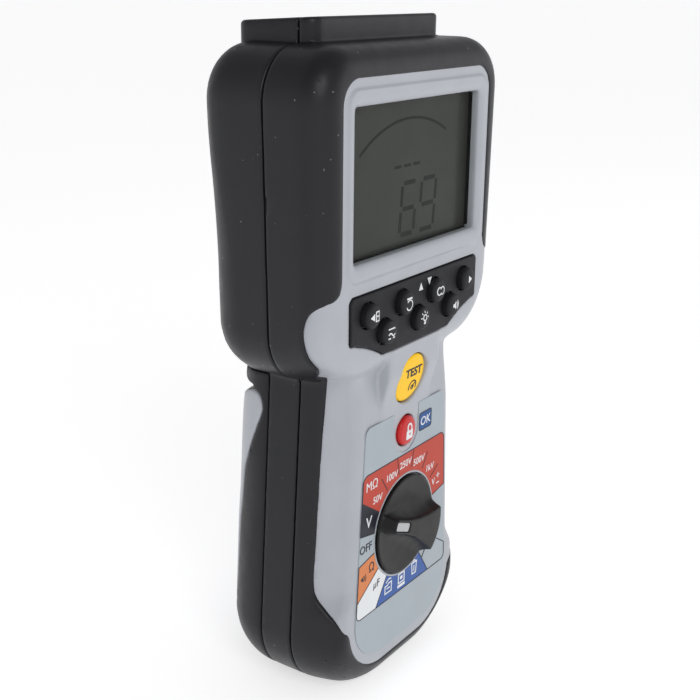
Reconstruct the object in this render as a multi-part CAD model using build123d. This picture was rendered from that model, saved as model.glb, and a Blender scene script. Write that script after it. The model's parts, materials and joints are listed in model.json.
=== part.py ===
from build123d import *
import math
import os

# Handheld insulation resistance tester, standing upright.
# X runs across, the front faces -Y, Z runs up; the origin is the middle of the base.
# All sizes are in millimetres.

# ---- driving dimensions -------------------------------------------------------------
HEIGHT = 228.0
HEAD_WIDTH = 108.2  # across the shoulders, before their corners are rounded
Y_CREST = -30.0  # front of the rotary knob's grip
Y_FACE = -26.7  # front face of the head
Y_LABEL = -23.7  # front face of the handle, where the range label lies
Y_SEAM = -5.1  # joint between the front and rear case halves
Y_GAP = 7.4  # joint between the rear case and the battery cover
Y_HEAD_BACK = 23.3
Y_BACK = 30.0  # rear face of the battery cover

HEAD_BOTTOM = 116.5
HEAD_TOP = 220.5
HEAD_WAIST = 51.7  # half width of the head at its lower edge
HANDLE_TOP = 132.0  # the handle runs up inside the head to here
COVER_TOP = 115.8
PANEL_TOP = 109.0
LID_TOP = 118.2  # shelf of the rear case above the battery cover

SKIN = 1.8  # thickness of the soft overmoulded skin
WALL = 4.0  # skin and hard case together
COVER_WALL = 2.6

KNOB_Z = 56.1
KNOB_R = 17.8
RANGES = 16  # positions of the rotary selector, evenly spaced
GRIP_TURN = 157.5  # where the grip points at rest, in degrees from +X about the knob
TEST_Z = 110.6
TEST_R = 9.0
TEST_TILT = 12.0  # how far the test button's face leans back, in degrees
LOCK_Z = 91.3
LOCK_R = 5.4
KEY_R = 4.0
KEY_UPPER_Z = 139.6
KEY_LOWER_Z = 132.3
UPPER_KEYS = {"key_left": -29.5, "key_test_mode": -9.8, "key_select": 9.8, "key_right": 29.5}
LOWER_KEYS = {"key_rms": -20.0, "key_backlight": 0.0, "key_buzzer": 20.0}
KEY_TRAVEL = 1.0
TEST_TRAVEL = 2.0
LOCK_TRAVEL = 1.5
GUIDE_GAP = 0.35  # clearance round each button in its hole

WINDOW_HALF = 36.9
WINDOW_LOW = 156.3
WINDOW_HIGH = 203.3
WINDOW_RECESS = 2.1

COLLAR_HALF = 36.2
COLLAR_FRONT = -10.8
COLLAR_BACK = 19.0
SOCKET_Y = 3.5
SOCKET_HALF_X = 29.0
SOCKET_HALF_Y = 11.0
SOCKET_TOP = 225.6
SOCKET_FLOOR = 203.5
SOCKET_X = {"negative": -19.0, "positive": 0.0}
PROBE_X = 19.0
SLEEVE_BORE = 2.02
SLEEVE_R = 2.9
WELL_R = 4.2
INSULATOR_R = 5.6

CELL_R = 7.1
CELL_LENGTH = 50.0
CELL_PITCH = 14.8
CELL_Y = 18.0
FIRST_CELL_Z = 24.0
CELLS = 6

SCREW_R = 1.45
SCREW_HEAD_R = 2.8
HEAD_SCREWS = [(-44.5, 131.0), (44.5, 131.0), (-44.5, 203.0), (44.5, 203.0)]
COVER_SCREW_Z = 10.5

PCB_THICK = 1.6
DISPLAY_PCB_Y = -15.2  # front face of the display board
MAIN_PCB_Y = -10.2  # front face of the main board


# ---- helpers ------------------------------------------------------------------------
def front(y):
    """A plane whose local axes are X and Z and whose normal is -Y."""
    return Plane(origin=(0, y, 0), x_dir=(1, 0, 0), z_dir=(0, -1, 0))


def slab(face, y_front, y_back):
    """The face, drawn in X and Z, filled from y_front to y_back."""
    return extrude(front(y_back) * face, amount=y_back - y_front)


def block(x0, x1, y0, y1, z0, z1):
    """An axis-aligned block between two corners."""
    return Pos((x0 + x1) / 2, (y0 + y1) / 2, (z0 + z1) / 2) * Box(x1 - x0, y1 - y0, z1 - z0)


def rod_y(x, z, r, y_front, y_back):
    """A cylinder along Y."""
    return Pos(x, (y_front + y_back) / 2, z) * Rot(90, 0, 0) * Cylinder(r, y_back - y_front)


def rod_z(x, y, r, z0, z1):
    """A cylinder along Z."""
    return Pos(x, y, (z0 + z1) / 2) * Cylinder(r, z1 - z0)


def rod_x(x0, x1, y, z, r):
    """A cylinder along X."""
    return Pos((x0 + x1) / 2, y, z) * Rot(0, 90, 0) * Cylinder(r, x1 - x0)


def tapered_face(low_half, high_half, z0, z1, low_r, high_r):
    """A four-sided outline, symmetric about X = 0, with rounded lower and upper corners."""
    corners = [(-low_half, z0), (low_half, z0), (high_half, z1), (-high_half, z1)]
    face = make_face(Polyline(*corners, close=True))
    middle = (z0 + z1) / 2
    low = [v for v in face.vertices() if v.Y < middle]
    face = fillet(low, low_r)
    high = [v for v in face.vertices() if v.Y > middle and abs(v.Y - z1) < 0.01]
    if high_r > 0:
        face = fillet(high, high_r)
    return face


def loop_at(solid, y):
    """The edges of a solid that lie in the plane at y."""
    boxes = [(e, e.bounding_box()) for e in solid.edges()]
    return [e for e, box in boxes if abs(box.min.Y - y) < 0.01 and abs(box.max.Y - y) < 0.01]


# ---- outer form, at any depth below the surface ---------------------------------------
def head_form(inset):
    """The head's rounded block, shrunk by inset on every side."""
    face = tapered_face(
        HEAD_WAIST - inset, HEAD_WIDTH / 2 - inset, HEAD_BOTTOM + inset, HEAD_TOP - inset, 18 - inset, 19 - inset
    )
    solid = slab(face, Y_FACE + inset, Y_HEAD_BACK - inset)
    solid = fillet(loop_at(solid, Y_HEAD_BACK - inset), 15.5 - inset)
    return fillet(loop_at(solid, Y_FACE + inset), 9.0 - inset)


def handle_form(inset):
    """The handle: its narrow front face widens to the seam, then runs straight to a rounded back."""
    nose = tapered_face(33.0 - inset, 25.8 - inset, inset, HANDLE_TOP, 22 - inset, 0)
    waist = tapered_face(43.8 - inset, 34.6 - inset, inset, HANDLE_TOP, 26 - inset, 0)
    flare = loft([front(Y_LABEL + inset) * nose, front(Y_SEAM) * waist], ruled=True)
    front_edges = [e for e in loop_at(flare, Y_LABEL + inset) if e.center().Z < HANDLE_TOP - 1]
    flare = fillet(front_edges, 4.5 - 0.9 * inset)
    back = slab(waist, Y_SEAM, Y_BACK - inset)
    side_edges = [e for e in loop_at(back, Y_BACK - inset) if e.center().Z < HANDLE_TOP - 1]
    back = fillet(side_edges, 18.0 - inset)
    back -= block(-80, 80, Y_GAP, 60, LID_TOP, HANDLE_TOP + 5)
    return flare + back


def body_form(inset):
    return head_form(inset) + handle_form(inset)


def collar_form(inset):
    """The raised collar round the sockets on the head's top."""
    face = RectangleRounded(2 * (COLLAR_HALF - inset), COLLAR_BACK - COLLAR_FRONT - 2 * inset, 5.0 - inset)
    low = HEAD_TOP - 12.0
    return Pos(0, (COLLAR_BACK + COLLAR_FRONT) / 2, low) * extrude(face, amount=HEIGHT - low)


OUTER = body_form(0)
CORE = body_form(SKIN)
CAVITY = body_form(WALL)
FRONT_HALF = block(-80, 80, -60, Y_SEAM, -10, 260)
REAR_HALF = block(-80, 80, Y_SEAM, 60, -10, 260)


def bare_front_region():
    """Where the hard front case comes to the surface: the bezel, the side lobes and the handle."""
    bezel = tapered_face(42.8, 42.8, 120.0, 211.3, 8.0, 8.0)
    lobes = tapered_face(70.0, 70.0, 90.0, 146.0, 1.0, 6.0)
    grip = tapered_face(34.0, 34.0, 8.7, 60.0, 20.0, 1.0)
    flanks = tapered_face(70.0, 70.0, 34.0, 100.0, 1.0, 1.0)
    return slab(bezel, -60, -12) + slab(lobes, -60, -14) + slab(grip, -60, -16) + slab(flanks, -60, -14)


def cover_region(gap):
    """The space behind the battery joint, which the removable cover fills."""
    return block(-80, 80, Y_GAP + gap, 60, -10, COVER_TOP - gap)


# ---- case halves and skins --------------------------------------------------------------
def socket_opening(margin):
    return block(
        -SOCKET_HALF_X - margin,
        SOCKET_HALF_X + margin,
        SOCKET_Y - SOCKET_HALF_Y - margin,
        SOCKET_Y + SOCKET_HALF_Y + margin,
        SOCKET_FLOOR - 6,
        HEIGHT + 5,
    )


def front_openings():
    """Every hole through the front: window, keys, buttons, knob shaft and their shallow recesses."""
    z_mid = (WINDOW_LOW + WINDOW_HIGH) / 2
    tall = WINDOW_HIGH - WINDOW_LOW
    window = slab(Pos(0, z_mid) * RectangleRounded(2 * WINDOW_HALF, tall, 1.5), -60, -12)
    pocket = slab(Pos(0, z_mid) * Rectangle(2 * WINDOW_HALF + 5.2, tall + 5.0), Y_FACE + WINDOW_RECESS, Y_SEAM)
    cuts = [window, pocket, slab(keypad_outline(0.1), -60, Y_FACE + 1.7)]
    for x, z in key_places().values():
        cuts.append(rod_y(x, z, KEY_R + GUIDE_GAP, -60, Y_SEAM))
    cuts.append(rod_y(0, TEST_Z, TEST_R + GUIDE_GAP, -60, -14))
    cuts.append(rod_y(0, LOCK_Z, LOCK_R + GUIDE_GAP, -60, -14))
    cuts.append(rod_y(0, KNOB_Z, KNOB_R + 0.5, -60, Y_LABEL + 1.6))
    cuts.append(rod_y(0, KNOB_Z, 5.0, -60, Y_SEAM))
    cuts.append(slab(label_outline(0.1), -60, Y_LABEL + 0.35))
    return cuts


def keypad_outline(margin):
    """The seven-key pad: flat top, straight sides and cut lower corners."""
    half = 38.7 + margin
    foot = 22.4 + margin
    points = [(-half, 131.5), (-foot, 124.3 - margin), (foot, 124.3 - margin), (half, 131.5)]
    points += [(half, 146.4 + margin), (-half, 146.4 + margin)]
    face = make_face(Polyline(*points, close=True))
    return fillet(face.vertices(), 1.6)


def label_outline(margin):
    """The range label, with a round notch for the lock button at its top."""
    low, high = 12.0, 99.2
    face = tapered_face(30.6 + margin, 24.6 + margin, low - margin, high + margin, 16.0, 3.0)
    notch = Pos(0, LOCK_Z) * Circle(7.8 - margin)
    notch += Pos(0, LOCK_Z + 10) * Rectangle(2 * (7.8 - margin), 20)
    return face - notch


def key_places():
    places = {name: (x, KEY_UPPER_Z) for name, x in UPPER_KEYS.items()}
    places.update({name: (x, KEY_LOWER_Z) for name, x in LOWER_KEYS.items()})
    return places


def screw_bosses(y0, y1, radius):
    return [rod_y(x, z, radius, y0, y1) for x, z in HEAD_SCREWS]


def button_boss():
    """The wedge between the head's face and the label, which holds the test button."""
    side = Plane(origin=(-15, 0, 0), x_dir=(0, 1, 0), z_dir=(1, 0, 0))
    slope = [(Y_LABEL, 99.5), (Y_FACE, 118.0), (Y_FACE, 126.0)]
    wedge = Polyline(*slope, (Y_LABEL + 3, 126.0), (Y_LABEL + 3, 99.5), close=True)
    return extrude(side * make_face(wedge), amount=30)


def make_front_case():
    """Hard grey front half."""
    bare = OUTER & bare_front_region()
    shell = (CORE + bare) & FRONT_HALF
    shell -= CAVITY
    shell += button_boss()
    for boss in screw_bosses(Y_FACE + 6, Y_SEAM, 3.8):
        shell += boss & CORE
    for cut in front_openings():
        shell -= cut
    for hole in screw_bosses(-18.0, Y_SEAM, SCREW_R + 0.05):
        shell -= hole
    return largest(shell - socket_opening(0.2))


def make_front_overmould():
    """Soft black skin over the front half's top, sides and foot, with the front half of the collar."""
    skin = (OUTER - CORE) & FRONT_HALF
    skin -= bare_front_region()
    skin += (collar_form(0) & FRONT_HALF) - CORE
    skin -= socket_opening(0.2)
    return largest(skin)


def largest(shape):
    """Only the biggest solid, without crumbs left by cutting."""
    return max(shape.solids(), key=lambda s: s.volume)


def make_rear_case():
    """Hard rear half, with the floor that closes it behind the batteries."""
    shell = (CORE & REAR_HALF) - CAVITY
    floor = block(-60, 60, Y_GAP - 2.5, Y_GAP, 0, COVER_TOP) & CORE
    lid = block(-60, 60, Y_GAP - 2.5, Y_BACK, COVER_TOP, LID_TOP) & CORE
    shell -= cover_region(0)
    shell += floor + lid
    for boss in screw_bosses(Y_SEAM, Y_HEAD_BACK - 3, 4.6):
        shell += boss & CORE
    for hole in screw_bosses(Y_SEAM - 1, 9.0, SCREW_R + 0.25):
        shell -= hole
    for recess in screw_bosses(9.0, 60, SCREW_HEAD_R + 0.4):
        shell -= recess
    shell += rod_y(0, COVER_SCREW_Z, 3.6, Y_SEAM, Y_GAP) & CORE
    shell -= rod_y(0, COVER_SCREW_Z, SCREW_R + 0.05, Y_SEAM + 2, Y_GAP + 1)
    return largest(shell - socket_opening(0.2))


def make_rear_overmould():
    """Soft black skin over the rear half, with the rear half of the collar."""
    skin = (OUTER - CORE) & REAR_HALF
    skin -= cover_region(0)
    skin += (collar_form(0) & REAR_HALF) - CORE
    for recess in screw_bosses(9.0, 60, SCREW_HEAD_R + 0.4):
        skin -= recess
    return largest(skin - socket_opening(0.2))


def panel_region():
    """The grey rear panel seen from the side: it sweeps forward to a rounded lobe near its top."""
    points = [(15.5, PANEL_TOP), (11.3, 106.5), (10.0, 102.9), (12.0, 96.8), (14.7, 90.3)]
    points += [(17.8, 82.0), (20.4, 70.0), (22.2, 56.0), (23.4, 36.0)]
    sweep = Spline(*points)
    outer = Polyline(points[-1], (26.0, 24.0), (60.0, 18.0), (60.0, PANEL_TOP), points[0])
    side = Plane(origin=(-70, 0, 0), x_dir=(0, 1, 0), z_dir=(1, 0, 0))
    return extrude(side * make_face([sweep, *outer.edges()]), amount=140)


def finger_scoop(margin):
    """The hollow across the cover's top, where a finger pulls it off."""
    return rod_x(-60, 60, Y_BACK + 1.0, PANEL_TOP + 2.4, 4.6 + margin)


def make_battery_cover():
    """Black battery cover that closes the back of the handle."""
    solid = handle_form(0) & cover_region(0.3)
    hollow = handle_form(COVER_WALL) & block(-80, 80, -10, 60, -10, COVER_TOP - 3.0)
    solid -= hollow
    solid += rod_y(0, COVER_SCREW_Z, 5.0, Y_GAP + 0.3, Y_BACK - 4) & handle_form(0)
    solid -= rod_y(0, COVER_SCREW_Z, SCREW_R + 0.25, Y_GAP - 1, 21.0)
    solid -= rod_y(0, COVER_SCREW_Z, SCREW_HEAD_R + 0.4, 21.0, 60)
    solid += finger_scoop(2.0) & handle_form(0) & cover_region(0.3)
    solid -= make_battery_cover_panel()
    return largest(solid - finger_scoop(0))


def make_battery_cover_panel():
    """Thin grey panel let into the battery cover's back."""
    shell = handle_form(0) - handle_form(1.2)
    return largest((shell & panel_region()) - finger_scoop(0))


# ---- display ---------------------------------------------------------------------------
def make_display_window():
    z_mid = (WINDOW_LOW + WINDOW_HIGH) / 2
    face = Pos(0, z_mid) * RectangleRounded(2 * WINDOW_HALF + 4.8, WINDOW_HIGH - WINDOW_LOW + 4.6, 1.0)
    return slab(face, Y_FACE + WINDOW_RECESS, Y_FACE + WINDOW_RECESS + 1.6)


LCD_FRONT = Y_FACE + WINDOW_RECESS + 1.8


def make_lcd_glass():
    return block(-38.0, 38.0, LCD_FRONT, LCD_FRONT + 2.2, 155.0, 204.6)


def make_lcd_backlight():
    return block(-37.5, 37.5, LCD_FRONT + 2.4, LCD_FRONT + 5.6, 155.5, 204.1)


def make_lcd_frame():
    ring = block(-40.6, 40.6, LCD_FRONT + 0.2, DISPLAY_PCB_Y - 0.1, 152.0, 207.6)
    ring -= block(-38.1, 38.1, -40, 0, 154.9, 204.7)
    return ring


def make_lcd_connectors():
    """Two rubber contact strips between the glass and the display board."""
    lower = block(-34, 34, LCD_FRONT + 5.8, DISPLAY_PCB_Y - 0.1, 156.0, 158.4)
    upper = block(-34, 34, LCD_FRONT + 5.8, DISPLAY_PCB_Y - 0.1, 201.2, 203.6)
    return Compound([lower, upper])


def make_display_board():
    return block(-38.5, 38.5, DISPLAY_PCB_Y, DISPLAY_PCB_Y + PCB_THICK, 124.0, 208.5)


# ---- keys and buttons --------------------------------------------------------------------
KEY_FRONT = Y_FACE - 2.8


def make_key(x, z):
    """A domed silicone key on a stem that reaches back to its contact dome."""
    cap = rod_y(x, z, KEY_R, KEY_FRONT, Y_FACE + 3.2)
    cap = fillet(loop_at(cap, KEY_FRONT), 1.0)
    stem = rod_y(x, z, 2.0, Y_FACE + 3.2, DISPLAY_PCB_Y - 0.5 - KEY_TRAVEL - 0.3)
    return cap + stem


def make_keypad_mat():
    mat = slab(keypad_outline(0), Y_FACE - 0.3, Y_FACE + 1.6)
    for x, z in key_places().values():
        mat -= rod_y(x, z, KEY_R + GUIDE_GAP, -60, 0)
    return mat


def make_key_domes():
    return Compound([rod_y(x, z, 3.0, DISPLAY_PCB_Y - 0.5, DISPLAY_PCB_Y) for x, z in key_places().values()])


def make_push_button(z, radius, proud, travel, tilt):
    """A round button with a rear flange that keeps it in, and a plunger for its switch."""
    top = Y_LABEL - proud
    inside = Y_LABEL + WALL + 0.4
    cap = rod_y(0, z, radius, top - 6.0, inside)
    cap -= Pos(0, top, z) * Rot(tilt, 0, 0) * Pos(0, -20, 0) * Box(60, 40, 60)
    cap += rod_y(0, z, radius + 1.2, inside, inside + 0.8)
    plunger = rod_y(0, z, 2.4, inside, MAIN_PCB_Y - 3.4 - travel - 0.25)
    return cap + plunger


def make_tact_switch(z):
    """Square switch body on the main board with a short round actuator."""
    base = block(-3.0, 3.0, MAIN_PCB_Y - 3.0, MAIN_PCB_Y, z - 3.0, z + 3.0)
    return base + rod_y(0, z, 1.6, MAIN_PCB_Y - 3.4, MAIN_PCB_Y - 3.0)


# ---- rotary selector ---------------------------------------------------------------------
GRIP_HALF_WIDTHS = [(15.6, 2.3), (7.0, 2.4), (1.0, 3.6), (-6.0, 5.2), (-13.2, 8.3)]
GRIP_R = 15.9


def grip_outline():
    """The grip seen from the front: narrow at its pointing end and flared at its tail."""
    upper = GRIP_HALF_WIDTHS
    lower = [(a, -b) for a, b in reversed(GRIP_HALF_WIDTHS)]
    edge_upper = Spline(*upper)
    edge_lower = Spline(*lower)
    nose = Line(lower[-1], upper[0])
    flare = upper[-1][1] + 4.0
    tail = Polyline(upper[-1], (-20.0, flare), (-20.0, -flare), lower[0])
    return make_face([edge_upper, *tail.edges(), edge_lower, nose]) & Circle(GRIP_R)


def make_range_knob():
    """Round knob with a raised grip, on a hub that clips to the selector shaft."""
    disc = rod_y(0, 0, KNOB_R, Y_LABEL - 1.0, Y_LABEL + 1.2)
    disc = fillet(loop_at(disc, Y_LABEL - 1.0), 0.8)
    grip = slab(grip_outline(), Y_CREST, Y_LABEL)
    hub = rod_y(0, 0, 4.6, Y_LABEL + 1.2, Y_LABEL + 2.4)
    knob = disc + grip + hub
    knob -= rod_y(0, 0, 3.0, Y_LABEL - 2.0, Y_LABEL + 7.0)
    knob -= block(7.6, 12.4, Y_CREST - 1, Y_CREST + 1.0, -1.6, 1.6)
    return turned(knob)


def turned(shape):
    """Set round the selector's axis at its rest position."""
    return Pos(0, 0, KNOB_Z) * Rot(0, -GRIP_TURN, 0) * shape


def make_knob_pointer():
    return turned(block(7.7, 12.3, Y_CREST + 0.1, Y_CREST + 1.0, -1.5, 1.5))


def make_selector_shaft():
    """Shaft pressed into the knob, running in the bush and carrying the rotor."""
    return rod_y(0, KNOB_Z, 3.0, Y_LABEL - 2.0, MAIN_PCB_Y + PCB_THICK + 2.0)


def make_shaft_bush():
    """Flanged bush in the front wall, in which the selector shaft turns."""
    bush = rod_y(0, KNOB_Z, 5.0, Y_LABEL + 2.7, Y_LABEL + WALL)
    bush += rod_y(0, KNOB_Z, 7.0, Y_LABEL + WALL, Y_LABEL + WALL + 2.4)
    return bush - rod_y(0, KNOB_Z, 3.05, -60, 0)


def make_selector_rotor():
    """Disc that carries the wipers and the ring of detent notches."""
    rotor = rod_y(0, KNOB_Z, 15.0, MAIN_PCB_Y - 3.6, MAIN_PCB_Y - 1.6)
    for i in range(RANGES):
        turn = math.radians(GRIP_TURN + i * 360 / RANGES)
        rotor -= rod_y(15.6 * math.cos(turn), KNOB_Z + 15.6 * math.sin(turn), 1.3, -60, 0)
    return rotor - rod_y(0, KNOB_Z, 3.0, -60, 0)


def make_wipers():
    """Sprung contact fingers on the back of the rotor."""
    fingers = []
    for reach in (7.0, 10.0, 13.0):
        x = reach * math.cos(math.radians(GRIP_TURN))
        z = KNOB_Z + reach * math.sin(math.radians(GRIP_TURN))
        fingers.append(rod_y(x, z, 0.9, MAIN_PCB_Y - 1.6, MAIN_PCB_Y - 0.3))
    return Compound(fingers)


def make_detent_spring():
    """Leaf spring on the board whose round nose rests in a rotor notch."""
    leaf = block(-9.0, 9.0, MAIN_PCB_Y - 3.4, MAIN_PCB_Y - 0.1, KNOB_Z - 19.4, KNOB_Z - 18.8)
    feet = block(-10.5, -9.0, MAIN_PCB_Y - 3.4, MAIN_PCB_Y, KNOB_Z - 20.4, KNOB_Z - 17.8)
    feet += block(9.0, 10.5, MAIN_PCB_Y - 3.4, MAIN_PCB_Y, KNOB_Z - 20.4, KNOB_Z - 17.8)
    nose = rod_y(0, KNOB_Z - 17.6, 1.3, MAIN_PCB_Y - 3.4, MAIN_PCB_Y - 1.8)
    return leaf + feet + nose


def make_shaft_clip():
    """Clip on the tail of the shaft, behind the main board."""
    y = MAIN_PCB_Y + PCB_THICK + 0.4
    return rod_y(0, KNOB_Z, 4.6, y, y + 0.8) - rod_y(0, KNOB_Z, 3.0, -60, 20)


# ---- electronics -------------------------------------------------------------------------
def make_main_board():
    board = block(-25.0, 25.0, MAIN_PCB_Y, MAIN_PCB_Y + PCB_THICK, 20.0, 121.5)
    board += block(-36.0, 36.0, MAIN_PCB_Y, MAIN_PCB_Y + PCB_THICK, 121.5, 196.0)
    board -= rod_y(0, KNOB_Z, 3.3, -60, 60)
    return board


BOARD_BACK = MAIN_PCB_Y + PCB_THICK


def make_board_link():
    return block(-16, 16, DISPLAY_PCB_Y + PCB_THICK, MAIN_PCB_Y, 150.0, 154.0)


def make_transformer():
    core = block(-33, -9, BOARD_BACK, BOARD_BACK + 16, 128, 152)
    return fillet(core.edges().filter_by(Axis.Y), 1.0)


def make_capacitors():
    cans = [rod_y(x, 140.0, 5.0, BOARD_BACK, BOARD_BACK + 14) for x in (2.0, 13.5, 25.0)]
    return Compound(cans)


def make_relays():
    return Compound([block(x, x + 10, BOARD_BACK, BOARD_BACK + 12, 164, 184) for x in (-32, -19, -6)])


def make_processor():
    return block(6, 26, BOARD_BACK, BOARD_BACK + 1.6, 164, 184)


def make_buzzer():
    return rod_y(0, 104.0, 7.0, BOARD_BACK, BOARD_BACK + 5.0) - rod_y(0, 104.0, 1.2, BOARD_BACK + 3.0, 10)


def make_fuse():
    return rod_x(-10.0, 10.0, BOARD_BACK + 5.5, 28.0, 3.0)


def make_fuse_clips():
    clips = []
    for x in (-9.0, 6.0):
        clip = block(x, x + 3.0, BOARD_BACK, BOARD_BACK + 8.0, 24.2, 31.8)
        clips.append(clip - rod_x(-20, 20, BOARD_BACK + 5.5, 28.0, 3.0))
    return Compound(clips)


# ---- sockets -------------------------------------------------------------------------------
def make_socket_block():
    """Insulating block let into the collar, with three round wells."""
    face = RectangleRounded(2 * SOCKET_HALF_X, 2 * SOCKET_HALF_Y, 2.0)
    solid = Pos(0, SOCKET_Y, SOCKET_FLOOR - 4) * extrude(face, amount=SOCKET_TOP - SOCKET_FLOOR + 4)
    for x in [*SOCKET_X.values(), PROBE_X]:
        solid -= rod_z(x, SOCKET_Y, INSULATOR_R, SOCKET_FLOOR, 240)
    for x in SOCKET_X.values():
        solid -= rod_z(x, SOCKET_Y, 1.2, SOCKET_FLOOR - 6, 240)
    return solid


def make_socket_insulator(x):
    ring = rod_z(x, SOCKET_Y, INSULATOR_R, SOCKET_FLOOR, SOCKET_TOP + 0.5)
    return ring - rod_z(x, SOCKET_Y, WELL_R, SOCKET_FLOOR + 1.5, 240) - rod_z(x, SOCKET_Y, 1.2, 190, 240)


def make_socket_sleeve(x):
    """Metal sleeve for a 4 mm plug, with a solder tail through the block."""
    sleeve = rod_z(x, SOCKET_Y, SLEEVE_R, SOCKET_FLOOR + 1.5, SOCKET_TOP - 3.0)
    sleeve -= rod_z(x, SOCKET_Y, SLEEVE_BORE, SOCKET_FLOOR + 3.5, 240)
    return sleeve + rod_z(x, SOCKET_Y, 1.2, SOCKET_FLOOR - 8, SOCKET_FLOOR + 1.5)


def make_probe_socket():
    """Round connector body for a remote switched probe."""
    body = rod_z(PROBE_X, SOCKET_Y, INSULATOR_R, SOCKET_FLOOR, SOCKET_TOP + 0.5)
    return body - rod_z(PROBE_X, SOCKET_Y, 4.6, SOCKET_TOP - 10.0, 240)


def make_probe_pins():
    pins = []
    for i in range(3):
        turn = math.radians(90 + 120 * i)
        x = PROBE_X + 2.4 * math.cos(turn)
        y = SOCKET_Y + 2.4 * math.sin(turn)
        pins.append(rod_z(x, y, 0.6, SOCKET_TOP - 10.0, SOCKET_TOP - 5.5))
    return Compound(pins)


# ---- batteries ------------------------------------------------------------------------------
def cell_heights():
    return [FIRST_CELL_Z + i * CELL_PITCH for i in range(CELLS)]


def make_cells():
    """Six AA cells lying across the handle, each with its positive button."""
    cells = []
    for i, z in enumerate(cell_heights()):
        side = 1 if i % 2 else -1
        x0 = -CELL_LENGTH / 2
        can = rod_x(x0, -x0 - 1.0, CELL_Y, z, CELL_R)
        button = rod_x(-x0 - 1.0, -x0, CELL_Y, z, 2.7)
        cell = can + button
        cells.append(cell if side > 0 else mirror(cell, about=Plane.YZ))
    return Compound(cells)


def make_contact_springs():
    """Negative contact springs, as stubby cones against the cells' flat ends."""
    springs = []
    for i, z in enumerate(cell_heights()):
        side = -1 if i % 2 else 1
        near = CELL_LENGTH / 2 + 0.05
        far = near + 1.9
        cone = Pos((near + far) / 2, CELL_Y, z) * Rot(0, -90, 0) * Cone(3.4, 2.4, far - near)
        springs.append(cone if side > 0 else mirror(cone, about=Plane.YZ))
    return Compound(springs)


def make_battery_tray():
    """Cradle that holds the cells between two end walls."""
    z0 = FIRST_CELL_Z - CELL_PITCH / 2 - 0.6
    z1 = FIRST_CELL_Z + (CELLS - 0.5) * CELL_PITCH + 0.6
    reach = CELL_LENGTH / 2 + 3.8
    tray = block(-reach, reach, Y_GAP + 0.05, Y_GAP + 11.0, z0, z1)
    tray -= block(-reach + 1.2, reach - 1.2, Y_GAP + 1.6, Y_GAP + 20, z0 + 0.8, z1 - 0.8)
    return tray


def make_contact_plates():
    z_low = FIRST_CELL_Z - 5.0
    z_high = FIRST_CELL_Z + (CELLS - 1) * CELL_PITCH + 5.0
    reach = CELL_LENGTH / 2
    left = block(-reach - 2.5, -reach - 2.1, CELL_Y - 5, CELL_Y + 1, z_low, z_high)
    right = block(reach + 2.1, reach + 2.5, CELL_Y - 5, CELL_Y + 1, z_low, z_high)
    return Compound([left, right])


# ---- fasteners and label ------------------------------------------------------------------------
def make_case_screws():
    screws = []
    for x, z in HEAD_SCREWS:
        screw = rod_y(x, z, SCREW_R, -16.0, 9.1) + rod_y(x, z, SCREW_HEAD_R, 9.1, 11.3)
        screws.append(screw - rod_y(x, z, 1.2, 10.2, 12))
    return Compound(screws)


def make_cover_screw():
    screw = rod_y(0, COVER_SCREW_Z, SCREW_R, Y_SEAM + 3, 21.1) + rod_y(0, COVER_SCREW_Z, SCREW_HEAD_R, 21.1, 23.4)
    return screw - block(-2.4, 2.4, 22.6, 24, COVER_SCREW_Z - 0.5, COVER_SCREW_Z + 0.5)


def make_front_label():
    label = slab(label_outline(0), Y_LABEL, Y_LABEL + 0.3)
    return label - rod_y(0, KNOB_Z, KNOB_R + 1.1, -60, 0)


# ---- assembly ---------------------------------------------------------------------------------------
def build_parts():
    parts = {
        "front_case": make_front_case(),
        "front_overmould": make_front_overmould(),
        "rear_case": make_rear_case(),
        "rear_overmould": make_rear_overmould(),
        "battery_cover": make_battery_cover(),
        "battery_cover_panel": make_battery_cover_panel(),
        "display_window": make_display_window(),
        "lcd_glass": make_lcd_glass(),
        "lcd_backlight": make_lcd_backlight(),
        "lcd_frame": make_lcd_frame(),
        "lcd_connectors": make_lcd_connectors(),
        "display_board": make_display_board(),
        "keypad_mat": make_keypad_mat(),
        "key_domes": make_key_domes(),
        "test_button": make_push_button(TEST_Z, TEST_R, 0.3, TEST_TRAVEL, TEST_TILT),
        "lock_button": make_push_button(LOCK_Z, LOCK_R, 0.8, LOCK_TRAVEL, 0),
        "test_switch": make_tact_switch(TEST_Z),
        "lock_switch": make_tact_switch(LOCK_Z),
        "front_label": make_front_label(),
        "range_knob": make_range_knob(),
        "knob_pointer": make_knob_pointer(),
        "selector_shaft": make_selector_shaft(),
        "shaft_bush": make_shaft_bush(),
        "selector_rotor": make_selector_rotor(),
        "selector_wipers": make_wipers(),
        "detent_spring": make_detent_spring(),
        "shaft_clip": make_shaft_clip(),
        "main_board": make_main_board(),
        "board_link": make_board_link(),
        "hv_transformer": make_transformer(),
        "hv_capacitors": make_capacitors(),
        "relays": make_relays(),
        "processor": make_processor(),
        "buzzer": make_buzzer(),
        "fuse": make_fuse(),
        "fuse_clips": make_fuse_clips(),
        "socket_block": make_socket_block(),
        "probe_socket": make_probe_socket(),
        "probe_socket_pins": make_probe_pins(),
        "battery_cells": make_cells(),
        "battery_tray": make_battery_tray(),
        "battery_springs": make_contact_springs(),
        "battery_contacts": make_contact_plates(),
        "case_screws": make_case_screws(),
        "cover_screw": make_cover_screw(),
    }
    for name, (x, z) in key_places().items():
        parts[name] = make_key(x, z)
    for name, x in SOCKET_X.items():
        parts[f"{name}_socket_insulator"] = make_socket_insulator(x)
        parts[f"{name}_socket_sleeve"] = make_socket_sleeve(x)
    return parts


os.makedirs("parts", exist_ok=True)
for node, shape in build_parts().items():
    export_step(shape, f"parts/{node}.step")
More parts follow.
